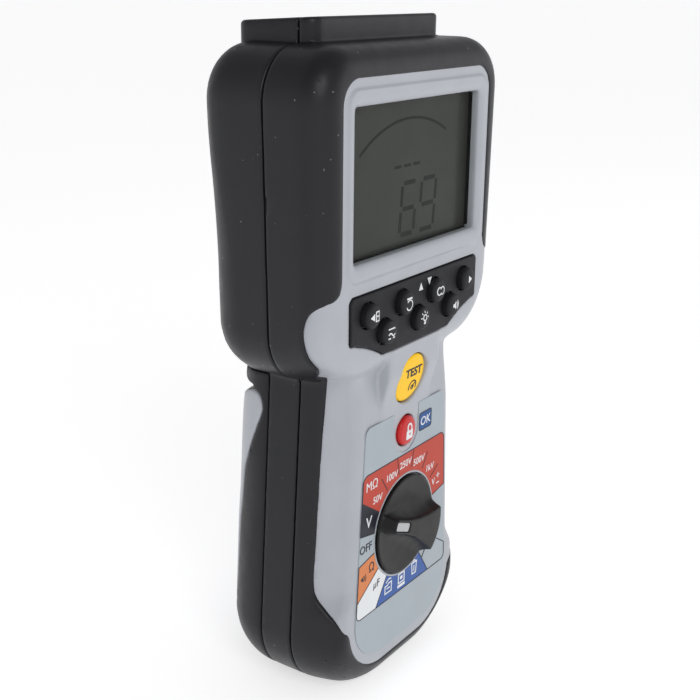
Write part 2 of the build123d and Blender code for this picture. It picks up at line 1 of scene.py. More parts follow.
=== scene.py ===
import json
import math
import bpy
import numpy as np
import openvdb as vdb
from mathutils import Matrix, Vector


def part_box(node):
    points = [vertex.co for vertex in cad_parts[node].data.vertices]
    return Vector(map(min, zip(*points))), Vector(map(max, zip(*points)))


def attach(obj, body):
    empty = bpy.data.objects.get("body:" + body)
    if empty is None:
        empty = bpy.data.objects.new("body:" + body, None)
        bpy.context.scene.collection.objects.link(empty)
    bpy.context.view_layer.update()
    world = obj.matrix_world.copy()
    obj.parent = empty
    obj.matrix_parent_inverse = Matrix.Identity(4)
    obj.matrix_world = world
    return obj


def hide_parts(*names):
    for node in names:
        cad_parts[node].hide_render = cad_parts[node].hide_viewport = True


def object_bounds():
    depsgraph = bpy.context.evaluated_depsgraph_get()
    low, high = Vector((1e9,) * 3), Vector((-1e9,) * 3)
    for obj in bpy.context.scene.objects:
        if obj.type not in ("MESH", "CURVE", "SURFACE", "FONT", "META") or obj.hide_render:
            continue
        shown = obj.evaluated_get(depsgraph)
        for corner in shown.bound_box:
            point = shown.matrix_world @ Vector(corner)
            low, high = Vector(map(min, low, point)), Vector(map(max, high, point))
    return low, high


# A handheld insulation resistance tester, standing upright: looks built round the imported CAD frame.
# Shapes are worked out as signed distance fields in millimetres and meshed in metres.
# X runs across, the front faces -Y and Z runs up, as in the frame.

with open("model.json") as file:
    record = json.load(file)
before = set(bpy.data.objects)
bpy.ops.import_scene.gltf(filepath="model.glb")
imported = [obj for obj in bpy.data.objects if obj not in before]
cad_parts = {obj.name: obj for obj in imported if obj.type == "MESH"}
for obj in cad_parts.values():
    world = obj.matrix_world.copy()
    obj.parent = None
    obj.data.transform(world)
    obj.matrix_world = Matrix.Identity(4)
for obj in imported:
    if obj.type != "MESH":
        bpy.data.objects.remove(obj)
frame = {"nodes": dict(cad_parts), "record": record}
cad_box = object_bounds()
MM = 0.001


# ---- places taken from the frame ----------------------------------------------------------
def node_box(name):
    """Lowest and highest corner of a CAD node in millimetres."""
    low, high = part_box(name)
    return np.array(low) / MM, np.array(high) / MM


def node_centre(name):
    low, high = node_box(name)
    return (low + high) / 2


Y_LABEL = node_box("front_label")[0][1]
Y_FACE = node_box("keypad_mat")[0][1] + 0.3
Y_SEAM = node_box("front_case")[1][1]
Y_GAP = node_box("battery_cover")[0][1] - 0.3
Y_BACK = node_box("battery_cover")[1][1]
KNOB = node_centre("shaft_bush")
TEST = node_centre("test_button")
LOCK = node_centre("lock_button")
TOP = cad_box[1][2] / MM

HEAD_LOW, HEAD_HIGH = 116.5, 220.5
HEAD_HALF = 54.03  # half width at the top
HEAD_TAPER = 0.023  # how much the half width shrinks for each millimetre down
HEAD_FRONT_EDGE = 9.0
Y_HEAD_BACK = 22.1
HANDLE_LENGTH = 132.0
FRONT_HALF, FRONT_TAPER = 34.0, 7.2  # the handle's front face at the foot, and what it loses on the way up
SEAM_HALF, SEAM_TAPER = 43.8, 9.2  # the same at the seam between the halves
FOOT_EDGE = 26.0
COVER_HIGH = 115.8
LID_HIGH = 118.2
SHELF_FALL = 0.13  # how much the shelf over the battery cover drops toward the back
BOSS_HALF = 15.6
COLLAR_HALF, COLLAR_DEPTH, COLLAR_Y = 36.2, 14.9, 4.1
COLLAR_FALL = 0.06
KEYS_UPPER = ["key_left", "key_test_mode", "key_select", "key_right"]
KEYS_LOWER = ["key_rms", "key_backlight", "key_buzzer"]
RANGE_STEP = 22.5  # degrees between the selector's positions
GRIP_TURN = 7 * RANGE_STEP


# ---- distance fields ------------------------------------------------------------------------
class Grid:
    """Sample points of a box, as three broadcastable arrays in millimetres."""

    def __init__(self, low, high, step):
        self.step = step * 1.0
        self.low = np.array(low, float)
        axes = [np.arange(a, b + self.step, self.step, dtype=np.float32) for a, b in zip(low, high)]
        self.x, self.y, self.z = np.meshgrid(*axes, indexing="ij", sparse=True)
        self.shape = tuple(len(a) for a in axes)


def ramp(t, start, end):
    """A smooth step from 0 at start to 1 at end."""
    s = np.clip((t - start) / (end - start), 0, 1)
    return s * s * (3 - 2 * s)


def blend_union(a, b, k):
    """What lies in a or b, with a soft fillet where they meet."""
    h = np.maximum(k - np.abs(a - b), 0) / k
    return np.minimum(a, b) - h * h * k * 0.25


def edge(a, b, r):
    """What lies in both a and b, with their common edge rounded to radius r."""
    outside = np.hypot(np.maximum(a + r, 0), np.maximum(b + r, 0))
    return outside + np.minimum(np.maximum(a, b) + r, 0) - r


def rounded_rect(u, v, half_u, half_v, r):
    return edge(np.abs(u) - half_u, np.abs(v) - half_v, r)


def polygon(u, v, points):
    """Signed distance to a closed polygon in a plane, negative inside."""
    nearest = np.float32(1e9)
    inside = np.zeros(np.broadcast(u, v).shape, bool)
    for (u0, v0), (u1, v1) in zip(points, points[1:] + points[:1]):
        eu, ev = u1 - u0, v1 - v0
        t = np.clip(((u - u0) * eu + (v - v0) * ev) / (eu * eu + ev * ev), 0, 1)
        nearest = np.minimum(nearest, np.hypot(u - u0 - eu * t, v - v0 - ev * t))
        crossed = (v0 > v) != (v1 > v)
        side = (u - u0) * ev < (v - v0) * eu
        inside ^= crossed & (side if ev > 0 else ~side)
    return np.where(inside, -nearest, nearest).astype(np.float32)


def smooth_line(points, steps=8):
    """Points of a curve that runs smoothly through the given points."""
    p = [np.array(q, float) for q in points]
    p = [2 * p[0] - p[1], *p, 2 * p[-1] - p[-2]]
    line = []
    for a, b, c, d in zip(p, p[1:], p[2:], p[3:]):
        for i in range(steps):
            t = i / steps
            bend = 2 * b + (c - a) * t + (2 * a - 5 * b + 4 * c - d) * t**2 + (3 * b - a - 3 * c + d) * t**3
            line.append(tuple(0.5 * bend))
    return line + [tuple(p[-2])]


# ---- the case's outer form ---------------------------------------------------------------------
def head_form(g):
    """The head: a rounded block, a little narrower toward the handle."""
    half = HEAD_HALF - (HEAD_HIGH - g.z) * HEAD_TAPER
    corner = np.where(g.z < 168, 18.0 + 6.0 * ramp(-g.y, 5.0, 20.0), 17.0)
    cap = np.abs(g.z - (HEAD_LOW + HEAD_HIGH) / 2) - (HEAD_HIGH - HEAD_LOW) / 2
    outline = edge(np.abs(g.x) - half, cap, corner)
    back = g.y - Y_HEAD_BACK + 1.1 * ramp(g.z, 145, 185)
    back_edge = 15.5 - 5.5 * ramp(g.z, 150, 200)
    return edge(edge(outline, Y_FACE - g.y, HEAD_FRONT_EDGE), back, back_edge)


def handle_form(g):
    """The handle: a narrow front that swells to the seam, and a rounded back."""
    front_half = FRONT_HALF - FRONT_TAPER * g.z / HANDLE_LENGTH + 4.2 * (1 - ramp(g.z, 33, 43))
    seam_half = SEAM_HALF - SEAM_TAPER * g.z / HANDLE_LENGTH
    s = np.clip((g.y - Y_LABEL) / (Y_SEAM - Y_LABEL), 0, 1)
    half = front_half + (seam_half - front_half) * (1 - (1 - s) ** 1.6)
    slope = (seam_half - front_half) / (Y_SEAM - Y_LABEL) * 1.6 * (1 - s) ** 0.6
    side = (np.abs(g.x) - half) / np.sqrt(1 + slope**2)
    outline = edge(side, -g.z, FOOT_EDGE)
    beside_boss = ramp(np.abs(g.x), 14.0, 15.5)
    front = Y_LABEL + 1.4 * beside_boss * ramp(g.z, 94.0, 115.0) - g.y
    back = g.y - Y_BACK + 3.6 * np.clip((g.z - 58) / 54, 0, 1) ** 1.3
    front_edge = 2.6 + 6.5 * (1 - ramp(g.z, 3, 25))
    back_edge = 21.5 - 3.5 * ramp(g.z, 65, 105)
    form = edge(edge(outline, front, front_edge), back, back_edge)
    lid = np.where(g.y > Y_GAP, g.z - LID_HIGH + SHELF_FALL * (g.y - Y_GAP), g.z - 130.0)
    return np.maximum(form, lid)


def boss_form(g):
    """The wedge under the keys that carries the test button."""
    rise = np.clip((g.z - 101.5) / 12.5, 0, 1)
    front = Y_LABEL + 0.75 * (1 - rise) - (Y_LABEL - Y_FACE) * rise - g.y
    block = edge(np.abs(g.x) - BOSS_HALF, front, 1.0)
    return np.maximum(np.maximum(block, g.z - 127), np.maximum(96 - g.z, g.y + 18))


def collar_form(g):
    """The collar round the sockets, its top falling toward the back."""
    outline = rounded_rect(g.x, g.y - COLLAR_Y, COLLAR_HALF, COLLAR_DEPTH, 4.6)
    slope = g.z - TOP + COLLAR_FALL * (g.y - COLLAR_Y + COLLAR_DEPTH)
    return edge(edge(outline, slope, 1.3), 205 - g.z, 1.0)


def body_form(g):
    return blend_union(head_form(g), handle_form(g), 3.0)


def bare_region(g):
    """Negative where the grey case shows: bezel, side lobes and handle front, as a cut through the skin."""
    bezel = np.maximum(rounded_rect(g.x, g.z - 165.6, 42.8, 45.7, 8.0), g.y + 12)
    rear_edge = smooth_line([
        (-25.0, 146.6), (-21.3, 144.6), (-19.1, 141.8), (-17.9, 137.5), (-17.6, 133.5), (-17.8, 128.8),
        (-18.8, 126.4), (-19.9, 124.2), (-19.2, 121.2), (-15.8, 117.9), (-13.5, 115.4), (-13.1, 110.3),
        (-12.8, 101.9), (-12.4, 90.0), (-12.1, 76.0), (-12.0, 60.0), (-11.9, 45.5), (-13.2, 40.2),
        (-17.3, 35.9), (-21.0, 32.6), (-23.4, 29.0),
    ])
    side = polygon(g.y, g.z, [(-80.0, 146.6), *rear_edge, (-80.0, 29.0)])
    foot = edge(edge(np.abs(g.x) - 32.4, 8.0 - g.z, 20.0), g.z - 60, 1.0)
    region = blend_union(bezel, side, 7.0)
    return blend_union(region, np.maximum(foot, g.y + 16), 5.0)


# ---- meshes ------------------------------------------------------------------------------------------
def piece_from(name, g, field, material, body, replaces=(), adaptivity=0.02):
    """Meshes the zero surface of a field as a smooth piece that rides on a body."""
    volume = vdb.FloatGrid()
    field = np.broadcast_to(field, g.shape)
    volume.copyFromArray(np.ascontiguousarray(np.clip(field, -3 * g.step, 3 * g.step), dtype=np.float32))
    points, triangles, quads = volume.convertToPolygons(isovalue=0.0, adaptivity=adaptivity)
    points = (points.astype(float) * g.step + g.low) * MM
    mesh = bpy.data.meshes.new(name)
    faces = triangles.tolist() + quads.tolist()
    mesh.from_pydata(points.tolist(), [], faces)
    mesh.validate()
    mesh.shade_smooth()
    return place(name, mesh, material, body, replaces)


def place(name, mesh, material, body, replaces=()):
    """Makes a piece of a mesh, with its material, body and the CAD nodes it stands for."""
    obj = bpy.data.objects.new(name, mesh)
    bpy.context.scene.collection.objects.link(obj)
    if material is not None:
        mesh.materials.clear()
        mesh.materials.append(material)
    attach(obj, body)
    if replaces:
        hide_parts(*replaces)
    return obj


# ---- materials -------------------------------------------------------------------------------------
def noise_at(tree, coords, size, detail=2.0):
    """A noise texture whose features are about size millimetres across."""
    node = tree.nodes.new("ShaderNodeTexNoise")
    node.inputs["Scale"].default_value = 1 / (size * MM)
    node.inputs["Detail"].default_value = detail
    tree.links.new(coords.outputs["Object"], node.inputs["Vector"])
    return node


def mapped(tree, source, low, high, from_low=0.35, from_high=0.65):
    node = tree.nodes.new("ShaderNodeMapRange")
    node.inputs["From Min"].default_value = from_low
    node.inputs["From Max"].default_value = from_high
    node.inputs["To Min"].default_value = low
    node.inputs["To Max"].default_value = high
    tree.links.new(source, node.inputs["Value"])
    return node.outputs["Result"]


def mixed(tree, factor, first, second):
    """A colour between two colours."""
    node = tree.nodes.new("ShaderNodeMix")
    node.data_type = "RGBA"
    node.inputs["A"].default_value = (*first, 1)
    node.inputs["B"].default_value = (*second, 1)
    tree.links.new(factor, node.inputs["Factor"])
    return node.outputs["Result"]


def moulded(name, colour, roughness, mottle=0.05, grain=0.4, depth=0.004, dust=0.0, **sockets):
    """Moulded plastic, rubber or ink: uneven colour and gloss, fine grain and, if asked, a little dust."""
    material = bpy.data.materials.new(name)
    material.use_nodes = True
    tree = material.node_tree
    shader = tree.nodes["Principled BSDF"]
    coords = tree.nodes.new("ShaderNodeTexCoord")
    cloud = noise_at(tree, coords, 14.0, 4.0).outputs["Fac"]
    dark = [c * (1 - mottle) for c in colour]
    light = [min(1.0, c * (1 + mottle)) for c in colour]
    shade = mixed(tree, mapped(tree, cloud, 0, 1), dark, light)
    if dust:
        speck = mapped(tree, noise_at(tree, coords, 1.1, 0.0).outputs["Fac"], 0, dust, 0.86, 0.89)
        node = tree.nodes.new("ShaderNodeMix")
        node.data_type = "RGBA"
        node.inputs["B"].default_value = (0.45, 0.45, 0.44, 1)
        tree.links.new(speck, node.inputs["Factor"])
        tree.links.new(shade, node.inputs["A"])
        shade = node.outputs["Result"]
    tree.links.new(shade, shader.inputs["Base Color"])
    gloss = mapped(tree, noise_at(tree, coords, 5.0, 3.0).outputs["Fac"], roughness - 0.03, roughness + 0.03)
    tree.links.new(gloss, shader.inputs["Roughness"])
    if depth:
        bump = tree.nodes.new("ShaderNodeBump")
        bump.inputs["Strength"].default_value = 0.5
        bump.inputs["Distance"].default_value = depth * MM
        tree.links.new(noise_at(tree, coords, grain, 1.0).outputs["Fac"], bump.inputs["Height"])
        tree.links.new(bump.outputs["Normal"], shader.inputs["Normal"])
    shader.inputs["Emission Color"].default_value = (1, 1, 1, 1)
    for socket, value in sockets.items():
        shader.inputs[socket.replace("_", " ")].default_value = value
    return material


def clear_pane(name):
    """Thin clear plastic that reflects and lets light straight through."""
    material = bpy.data.materials.new(name)
    material.use_nodes = True
    tree = material.node_tree
    tree.nodes.remove(tree.nodes["Principled BSDF"])
    see_through = tree.nodes.new("ShaderNodeBsdfTransparent")
    see_through.inputs["Color"].default_value = (0.93, 0.94, 0.93, 1)
    mirror = tree.nodes.new("ShaderNodeBsdfGlossy")
    mirror.inputs["Color"].default_value = (0.15, 0.15, 0.15, 1)
    mirror.inputs["Roughness"].default_value = 0.04
    facing = tree.nodes.new("ShaderNodeLayerWeight")
    gloss = mapped(tree, facing.outputs["Facing"], 0.0, 0.35, 0.7, 1.0)
    mix = tree.nodes.new("ShaderNodeMixShader")
    tree.links.new(gloss, mix.inputs["Fac"])
    tree.links.new(see_through.outputs["BSDF"], mix.inputs[1])
    tree.links.new(mirror.outputs["BSDF"], mix.inputs[2])
    tree.links.new(mix.outputs["Shader"], tree.nodes["Material Output"].inputs["Surface"])
    return material


def ink(name, colour):
    """Printing ink: even, with little gloss."""
    return moulded(name, colour, 0.36, mottle=0.02, depth=0.001, Specular_IOR_Level=0.2)


def display_film(name, colour, roughness, mottle, painted_glow):
    """A layer of the liquid crystal panel under its thin glossy glass. Its glow is painted light: an
    emission on a panel that is no lamp.
    """
    return moulded(name, colour, roughness, mottle=mottle, depth=0.0, Emission_Strength=painted_glow,
                   Specular_IOR_Level=0.12, Coat_Weight=0.3, Coat_Roughness=0.12)


MATERIALS = {
    "skin": moulded("skin_rubber", (0.009, 0.009, 0.0125), 0.38, dust=0.3, Specular_IOR_Level=0.32),
    "cover": moulded("cover_plastic", (0.010, 0.010, 0.013), 0.42, Specular_IOR_Level=0.26),
    "grey": moulded("case_plastic", (0.41, 0.43, 0.465), 0.36, mottle=0.02, depth=0.002),
    "keypad": moulded("keypad_rubber", (0.011, 0.011, 0.014), 0.55, Specular_IOR_Level=0.25),
    "knob": moulded("knob_plastic", (0.006, 0.006, 0.0065), 0.40, depth=0.008, Specular_IOR_Level=0.27),
    "black": moulded("black_plastic", (0.012, 0.012, 0.013), 0.45),
    "rear": moulded("rear_plastic", (0.015, 0.015, 0.017), 0.45),
    "label": moulded("label_film", (0.36, 0.41, 0.45), 0.34, mottle=0.015, depth=0.001),
    "yellow": moulded("button_yellow", (0.98, 0.58, 0.003), 0.34, mottle=0.02, depth=0.001,
                      Specular_IOR_Level=0.2),
    "red": moulded("button_red", (0.56, 0.014, 0.014), 0.28, mottle=0.02, depth=0.001,
                   Specular_IOR_Level=0.35),
    "white": moulded("white_plastic", (0.72, 0.73, 0.74), 0.4, mottle=0.02),
    "pointer": moulded("pointer_plastic", (0.45, 0.46, 0.47), 0.4, mottle=0.02),
    "ink_red": ink("ink_red", (0.50, 0.055, 0.032)),
    "ink_orange": ink("ink_orange", (0.68, 0.22, 0.075)),
    "ink_blue": ink("ink_blue", (0.042, 0.110, 0.36)),
    "ink_sign": ink("ink_sign_blue", (0.018, 0.085, 0.27)),
    "ink_white": moulded("ink_white", (0.76, 0.78, 0.80), 0.36, mottle=0.01, depth=0.001),
    "ink_black": ink("ink_black", (0.018, 0.019, 0.028)),
    # The last number of the display panel is a painted glow, emitted light on a panel that is not lit.
    "lcd": display_film("lcd_glass", (0.030, 0.030, 0.025), 0.45, 0.08, 0.010),
    "lcd_ink": display_film("lcd_segments", (0.006, 0.006, 0.005), 0.5, 0.02, 0.0),
    "clear": clear_pane("window_clear"),
    "board": moulded("board_green", (0.012, 0.10, 0.035), 0.35),
    "component": moulded("component_dark", (0.018, 0.018, 0.018), 0.4),
    "blue_can": moulded("component_blue", (0.02, 0.05, 0.20), 0.35),
    "copper": moulded("copper_winding", (0.72, 0.33, 0.16), 0.32, Metallic=1.0),
    "steel": moulded("steel", (0.60, 0.60, 0.60), 0.30, mottle=0.03, Metallic=1.0),
    "brass": moulded("brass", (0.72, 0.52, 0.22), 0.30, mottle=0.03, Metallic=1.0),
    "rubber": moulded("contact_rubber", (0.03, 0.03, 0.03), 0.6),
    "insulator_red": moulded("insulator_red", (0.45, 0.015, 0.015), 0.35),
    "ceramic": moulded("fuse_ceramic", (0.75, 0.73, 0.68), 0.35),
    "cell": moulded("cell_wrap", (0.05, 0.12, 0.06), 0.3),
    "light_guide": moulded("light_guide", (0.78, 0.80, 0.78), 0.3),
}

# The finish of every CAD node that stays in view, by the record's slot.
SLOT_FINISH = {
    "case_grey": "grey", "skin_black": "skin", "rear_shell": "rear", "cover_black": "cover",
    "panel_grey": "grey", "window_clear": "clear", "lcd": "lcd", "light_guide": "light_guide",
    "white_plastic": "white", "black_plastic": "black", "keypad_rubber": "keypad",
    "button_yellow": "yellow", "button_red": "red", "label_film": "label", "board_green": "board",
    "component_dark": "component", "component_blue": "blue_can", "copper_winding": "copper",
    "steel": "steel", "brass": "brass", "contact_rubber": "rubber", "insulator_red": "insulator_red",
    "insulator_black": "black", "fuse_ceramic": "ceramic", "cell_wrap": "cell",
}


def finish_cad_nodes():
    """Gives each CAD node the procedural material of its record slot."""
    for row in frame["record"]["subparts"]:
        node = frame["nodes"][row["node"]]
        node.data.materials.clear()
        node.data.materials.append(MATERIALS[SLOT_FINISH[row["material_slot"]]])


# ---- case shells ------------------------------------------------------------------------------------
SKIN = 1.8
HALF_GAP = 0.15
SHELL_WALL = 4.2
SEAM_SHY = 0.2  # each half stops this far from the seam
SCREW_X, SCREW_Z = 44.5, (131.0, 203.0)
SCREW_WELL = 3.3
WINDOW_Z = 179.8
WINDOW_HALF = (36.9, 23.5)
PAD_HALF, PAD_HIGH = 38.7, 146.4
TEST_BORE, LOCK_BORE, KNOB_POCKET = 9.05, 5.7, 18.4


def socket_well(g):
    return edge(rounded_rect(g.x, g.y - 3.5, 29.2, 11.2, 2.2), 197.0 - g.z, 0.5)


def make_front_skin():
    """Soft black skin of the front half, lipped over the grey case, with half of the socket collar."""
    g = Grid((-56.5, -30.5, -2.5), (56.5, -3.5, 230.5), 0.45)
    body = body_form(g)
    skin = edge(np.minimum(body, collar_form(g)), -(bare_region(g) + HALF_GAP), 0.9)
    skin = np.maximum(skin, -(body + SKIN))
    skin = edge(skin, g.y - (Y_SEAM - SEAM_SHY), 0.6)
    skin = edge(skin, -socket_well(g), 0.4)
    piece_from("front_skin", g, skin, MATERIALS["skin"], "case", ["front_overmould"])


def window_cut(g):
    """The display opening, with its bevelled rim."""
    opening = rounded_rect(g.x, g.z - WINDOW_Z, *WINDOW_HALF, 1.5)
    bevel = (opening + 1.5 * (g.y + 26.1)) / 1.8
    return np.minimum(np.maximum(opening, g.y + 12), np.maximum(bevel, g.y + 24))


def keypad_outline():
    """What lies above the key pad's lower edge, whose corners are hollow."""
    lower = [(60.0, 132.0), (38.7, 131.4), (34.0, 130.5), (29.0, 128.9), (24.0, 126.7), (19.9, 124.5)]
    side = [(60.0, 170.0), *smooth_line(lower, 4)]
    return [(-x, z) for x, z in reversed(side)] + side


def keypad_field(g):
    """Distance to the key pad's outline, with its corners rounded."""
    block = edge(np.abs(g.x) - PAD_HALF, g.z - PAD_HIGH, 1.8)
    return edge(block, polygon(g.x, g.z, keypad_outline()), 1.2)


def make_front_case():
    """Hard grey front half: raised display frame, key pad bed, button boss and handle front."""
    g = Grid((-54.5, -28.5, 5.5), (54.5, -3.5, 214.5), 0.42)
    body = body_form(g)
    sunk = 0.25 + 0.95 * ramp(g.y, -24.2, -18.5)
    grey = body + sunk
    frame_front = np.maximum(rounded_rect(g.x, g.z - 179.7, 40.8, 28.8, 5.0), g.y + 22)
    grey = blend_union(grey, edge(frame_front, -27.3 - g.y, 0.8), 0.8)
    grey = blend_union(grey, boss_form(g), 1.2)
    region = bare_region(g)
    shown = np.maximum(grey, region - 0.8)
    grey = np.maximum(np.minimum(shown, body + SKIN + 0.15), region - 3.0)
    grey = edge(grey, -window_cut(g), 0.4)
    bed = np.maximum(keypad_field(g) - 0.25, g.y - (Y_FACE + 1.7))
    grey = edge(grey, -bed, 0.4)
    for z, radius in ((TEST[2], TEST_BORE), (LOCK[2], LOCK_BORE)):
        bore = np.maximum(np.hypot(g.x, g.z - z) - radius, g.y + 14)
        grey = edge(grey, -bore, 0.5)
    pocket = np.maximum(np.hypot(g.x, g.z - KNOB[2]) - KNOB_POCKET, g.y - (Y_LABEL + 1.7))
    grey = edge(grey, -pocket, 0.3)
    grey = np.maximum(grey, -(body + SHELL_WALL))
    grey = np.maximum(grey, g.y - (Y_SEAM - SEAM_SHY))
    piece_from("front_shell", g, grey, MATERIALS["grey"], "case", ["front_case"])


def cover_space(g, gap):
    """Behind the battery joint, below the rear case's shelf."""
    return np.maximum(Y_GAP + gap - g.y, g.z - (COVER_HIGH - gap) + SHELF_FALL * (g.y - Y_GAP))


def make_rear_skin():
    """Soft black skin of the rear half, open where the battery cover fits."""
    g = Grid((-56.5, -7.5, -2.5), (56.5, 32.5, 230.5), 0.5)
    body = body_form(g)
    skin = np.maximum(np.minimum(body, collar_form(g)), -(body + SKIN))
    skin = edge(skin, (Y_SEAM + SEAM_SHY) - g.y, 0.6)
    skin = edge(skin, -cover_space(g, 0.0), 0.6)
    skin = edge(skin, -socket_well(g), 0.4)
    for x in (-SCREW_X, SCREW_X):
        for z in SCREW_Z:
            skin = edge(skin, SCREW_WELL - np.hypot(g.x - x, g.z - z), 0.5)
    piece_from("rear_skin", g, skin, MATERIALS["skin"], "case", ["rear_overmould"])


def panel_field(g):
    """The grey rear panel seen from the side, sweeping forward to a rounded lobe near its top."""
    sweep = smooth_line([
        (24.5, 103.9), (19.0, 106.3), (15.4, 107.8), (12.9, 107.8), (11.1, 106.2), (10.1, 102.9),
        (10.7, 100.0), (12.0, 96.8), (14.7, 90.3), (17.2, 84.0), (19.4, 77.4), (20.6, 66.0),
        (21.7, 57.0), (22.9, 38.0), (24.6, 26.0),
    ])
    return polygon(g.y, g.z, [(60.0, 90.0), *sweep, (32.0, 17.0), (60.0, 14.0)])


def scoop_field(g):
    """The hollow under the cover's top edge, deepest just above the grey panel."""
    hollow = [
        (40.0, 97.6), (24.5, 104.2), (19.0, 106.6), (15.4, 108.2), (15.6, 109.4), (19.0, 109.5),
        (24.0, 110.4), (40.0, 112.0),
    ]
    return polygon(g.y, g.z, smooth_line(hollow, 5))


def make_battery_cover():
    """Black battery cover and the grey panel let into its back."""
    g = Grid((-46.5, 4.5, -2.5), (46.5, 32.5, 118.0), 0.45)
    handle = edge(handle_form(g), cover_space(g, 0.3), 0.7)
    scooped = edge(handle, -scoop_field(g), 0.8)
    panel_side = panel_field(g)
    black = edge(scooped, -(panel_side - 0.12), 0.7)
    black = np.minimum(black, np.maximum(scooped, handle_form(g) + 1.7))
    black = np.maximum(black, -np.maximum(handle_form(g) + 3.4, g.z - 104))
    screw_hole = np.hypot(g.x, g.z - 10.5) - 3.1
    black = edge(black, -screw_hole, 0.5)
    piece_from("cover_shell", g, black, MATERIALS["cover"], "case", ["battery_cover"])
    panel = edge(handle_form(g), panel_side + 0.12, 0.9)
    panel = np.maximum(panel, -(handle_form(g) + 1.6))
    piece_from("cover_panel", g, panel, MATERIALS["grey"], "case", ["battery_cover_panel"])


# ---- buttons, keys and knob -------------------------------------------------------------------------
def make_keypad():
    """The rubber pad round the keys, with a hole for each."""
    g = Grid((-40.5, -28.0, 122.5), (40.5, -24.0, 148.5), 0.25)
    mat = edge(keypad_field(g) + 0.05, Y_FACE - 0.25 - g.y, 0.45)
    mat = np.maximum(mat, g.y - (Y_FACE + 1.5))
    for name in KEYS_UPPER + KEYS_LOWER:
        centre = node_centre(name)
        hole = np.hypot(g.x - centre[0], g.z - centre[2]) - KEY_HOLE
        mat = edge(mat, -hole, 0.35)
    piece_from("keypad_pad", g, mat, MATERIALS["keypad"], "case", ["keypad_mat"])


KEY_TOP = Y_FACE - 3.1
KEY_DOME = 15.0
KEY_RADIUS, KEY_HOLE, KEY_ROOM = 3.95, 4.35, 5.2


def key_surface(x, z):
    """Front of a domed key at an offset from its centre."""
    return KEY_TOP + (x * x + z * z) / (2 * KEY_DOME)


def make_key(name):
    centre = node_centre(name)
    low = (centre[0] - KEY_ROOM, KEY_TOP - 1, centre[2] - KEY_ROOM)
    high = (centre[0] + KEY_ROOM, Y_FACE + 4, centre[2] + KEY_ROOM)
    g = Grid(low, high, 0.2)
    dx, dz = g.x - centre[0], g.z - centre[2]
    cap = edge(np.hypot(dx, dz) - KEY_RADIUS, key_surface(dx, dz) - g.y, 0.8)
    cap = np.maximum(cap, g.y - (Y_FACE + 3.0))
    piece_from(f"{name}_cap", g, cap, MATERIALS["keypad"], name, [name])


TEST_LEAN = math.tan(math.radians(12))


def test_surface(x, z):
    """Front of the leaning test button at an offset from its centre."""
    return Y_LABEL - 1.0 - TEST_LEAN * z


def lock_surface(x, z):
    """Front of the domed lock button at an offset from its centre."""
    return node_box("lock_button")[0][1] - 0.4 + (x * x + z * z) / 50.0


def make_button(name, radius, surface, material):
    """A round button with a flange that keeps it behind the case."""
    front = node_box(name)[0][1]
    middle = node_centre(name)[2]
    room = radius + 2.4
    g = Grid((-room, front - 2.0, middle - room), (room, front + 8.5, middle + room), 0.25)
    dz = g.z - middle
    away = np.hypot(g.x, dz)
    top = surface(g.x, dz) - g.y
    cap = edge(away - radius, top, 0.9)
    cap = np.maximum(cap, g.y - (Y_LABEL + 5.2))
    flange = np.maximum(away - radius - 1.2, np.abs(g.y - (Y_LABEL + 4.8)) - 0.4)
    piece_from(f"{name}_cap", g, np.minimum(cap, flange), material, name, [name])


CREST = 6.3
INSERT_A, INSERT_B = (6.3, 15.0), 1.75
DISC_RADIUS = 17.8


def knob_coordinates(g):
    """Distance along the grip, across it, from the axis, and above the label."""
    turn = math.radians(GRIP_TURN)
    dz = g.z - KNOB[2]
    a = g.x * math.cos(turn) + dz * math.sin(turn)
    b = dz * math.cos(turn) - g.x * math.sin(turn)
    return a, b, np.hypot(g.x, dz), Y_LABEL - g.y


def make_knob():
    """Round knob: a dished disc with a raised grip, narrow at its pointing end and flared at its tail."""
    g = Grid((-19.5, -31.0, KNOB[2] - 19.5), (19.5, -21.5, KNOB[2] + 19.5), 0.22)
    a, b, away, height = knob_coordinates(g)
    disc = edge(away - DISC_RADIUS, height - (1.1 - 0.8 * (1 - (away / DISC_RADIUS) ** 2)), 0.6)
    crest_half = np.interp(a, [-16, -13.2, -9.0, -4.0, 1.0, 7.0, 16], [9.0, 8.4, 6.3, 4.5, 3.2, 2.45, 2.45])
    low = np.clip(1 - height / CREST, 0, 1)
    spread = np.clip(5.6 * (1 - (a / 18.5) ** 2), 0.8, 9)
    lean = spread * 2.6 * low**1.6 / CREST
    flank = (np.abs(b) - crest_half - spread * low**2.6) / np.sqrt(1 + lean**2)
    ends = (away - (18.0 - 0.42 * np.clip(height, 0, CREST + 1))) / 1.085
    grip = edge(edge(flank, ends, 0.9), height - CREST, 0.55)
    knob = blend_union(disc, np.maximum(grip, -0.5 - height), 0.8)
    insert_mid = (INSERT_A[0] + INSERT_A[1]) / 2
    insert = rounded_rect(a - insert_mid, b, (INSERT_A[1] - INSERT_A[0]) / 2, INSERT_B, 0.9)
    knob = edge(knob, -np.maximum(insert, CREST - 0.7 - height), 0.25)
    knob = np.maximum(knob, -1.0 - height)
    piece_from("knob_body", g, knob, MATERIALS["knob"], "range_knob", ["range_knob"])
    pointer = edge(insert + 0.12, height - (CREST - 0.3), 0.2)
    pointer = np.maximum(pointer, CREST - 0.75 - height)
    piece_from("knob_window", g, pointer, MATERIALS["pointer"], "range_knob",
               ["knob_pointer"])


# ---- flat artwork --------------------------------------------------------------------------------------
def filled(loops, shift=(0, 0)):
    """A flat shape between closed loops; a loop inside another is a hole."""
    curve = bpy.data.curves.new("shape", "CURVE")
    curve.dimensions = "2D"
    curve.fill_mode = "BOTH"
    curve.extrude = 0.5
    for loop in loops:
        spline = curve.splines.new("POLY")
        spline.points.add(len(loop) - 1)
        for point, (u, v) in zip(spline.points, loop):
            point.co = (u + shift[0], v + shift[1], 0, 1)
        spline.use_cyclic_u = True
    return taken_from(curve)


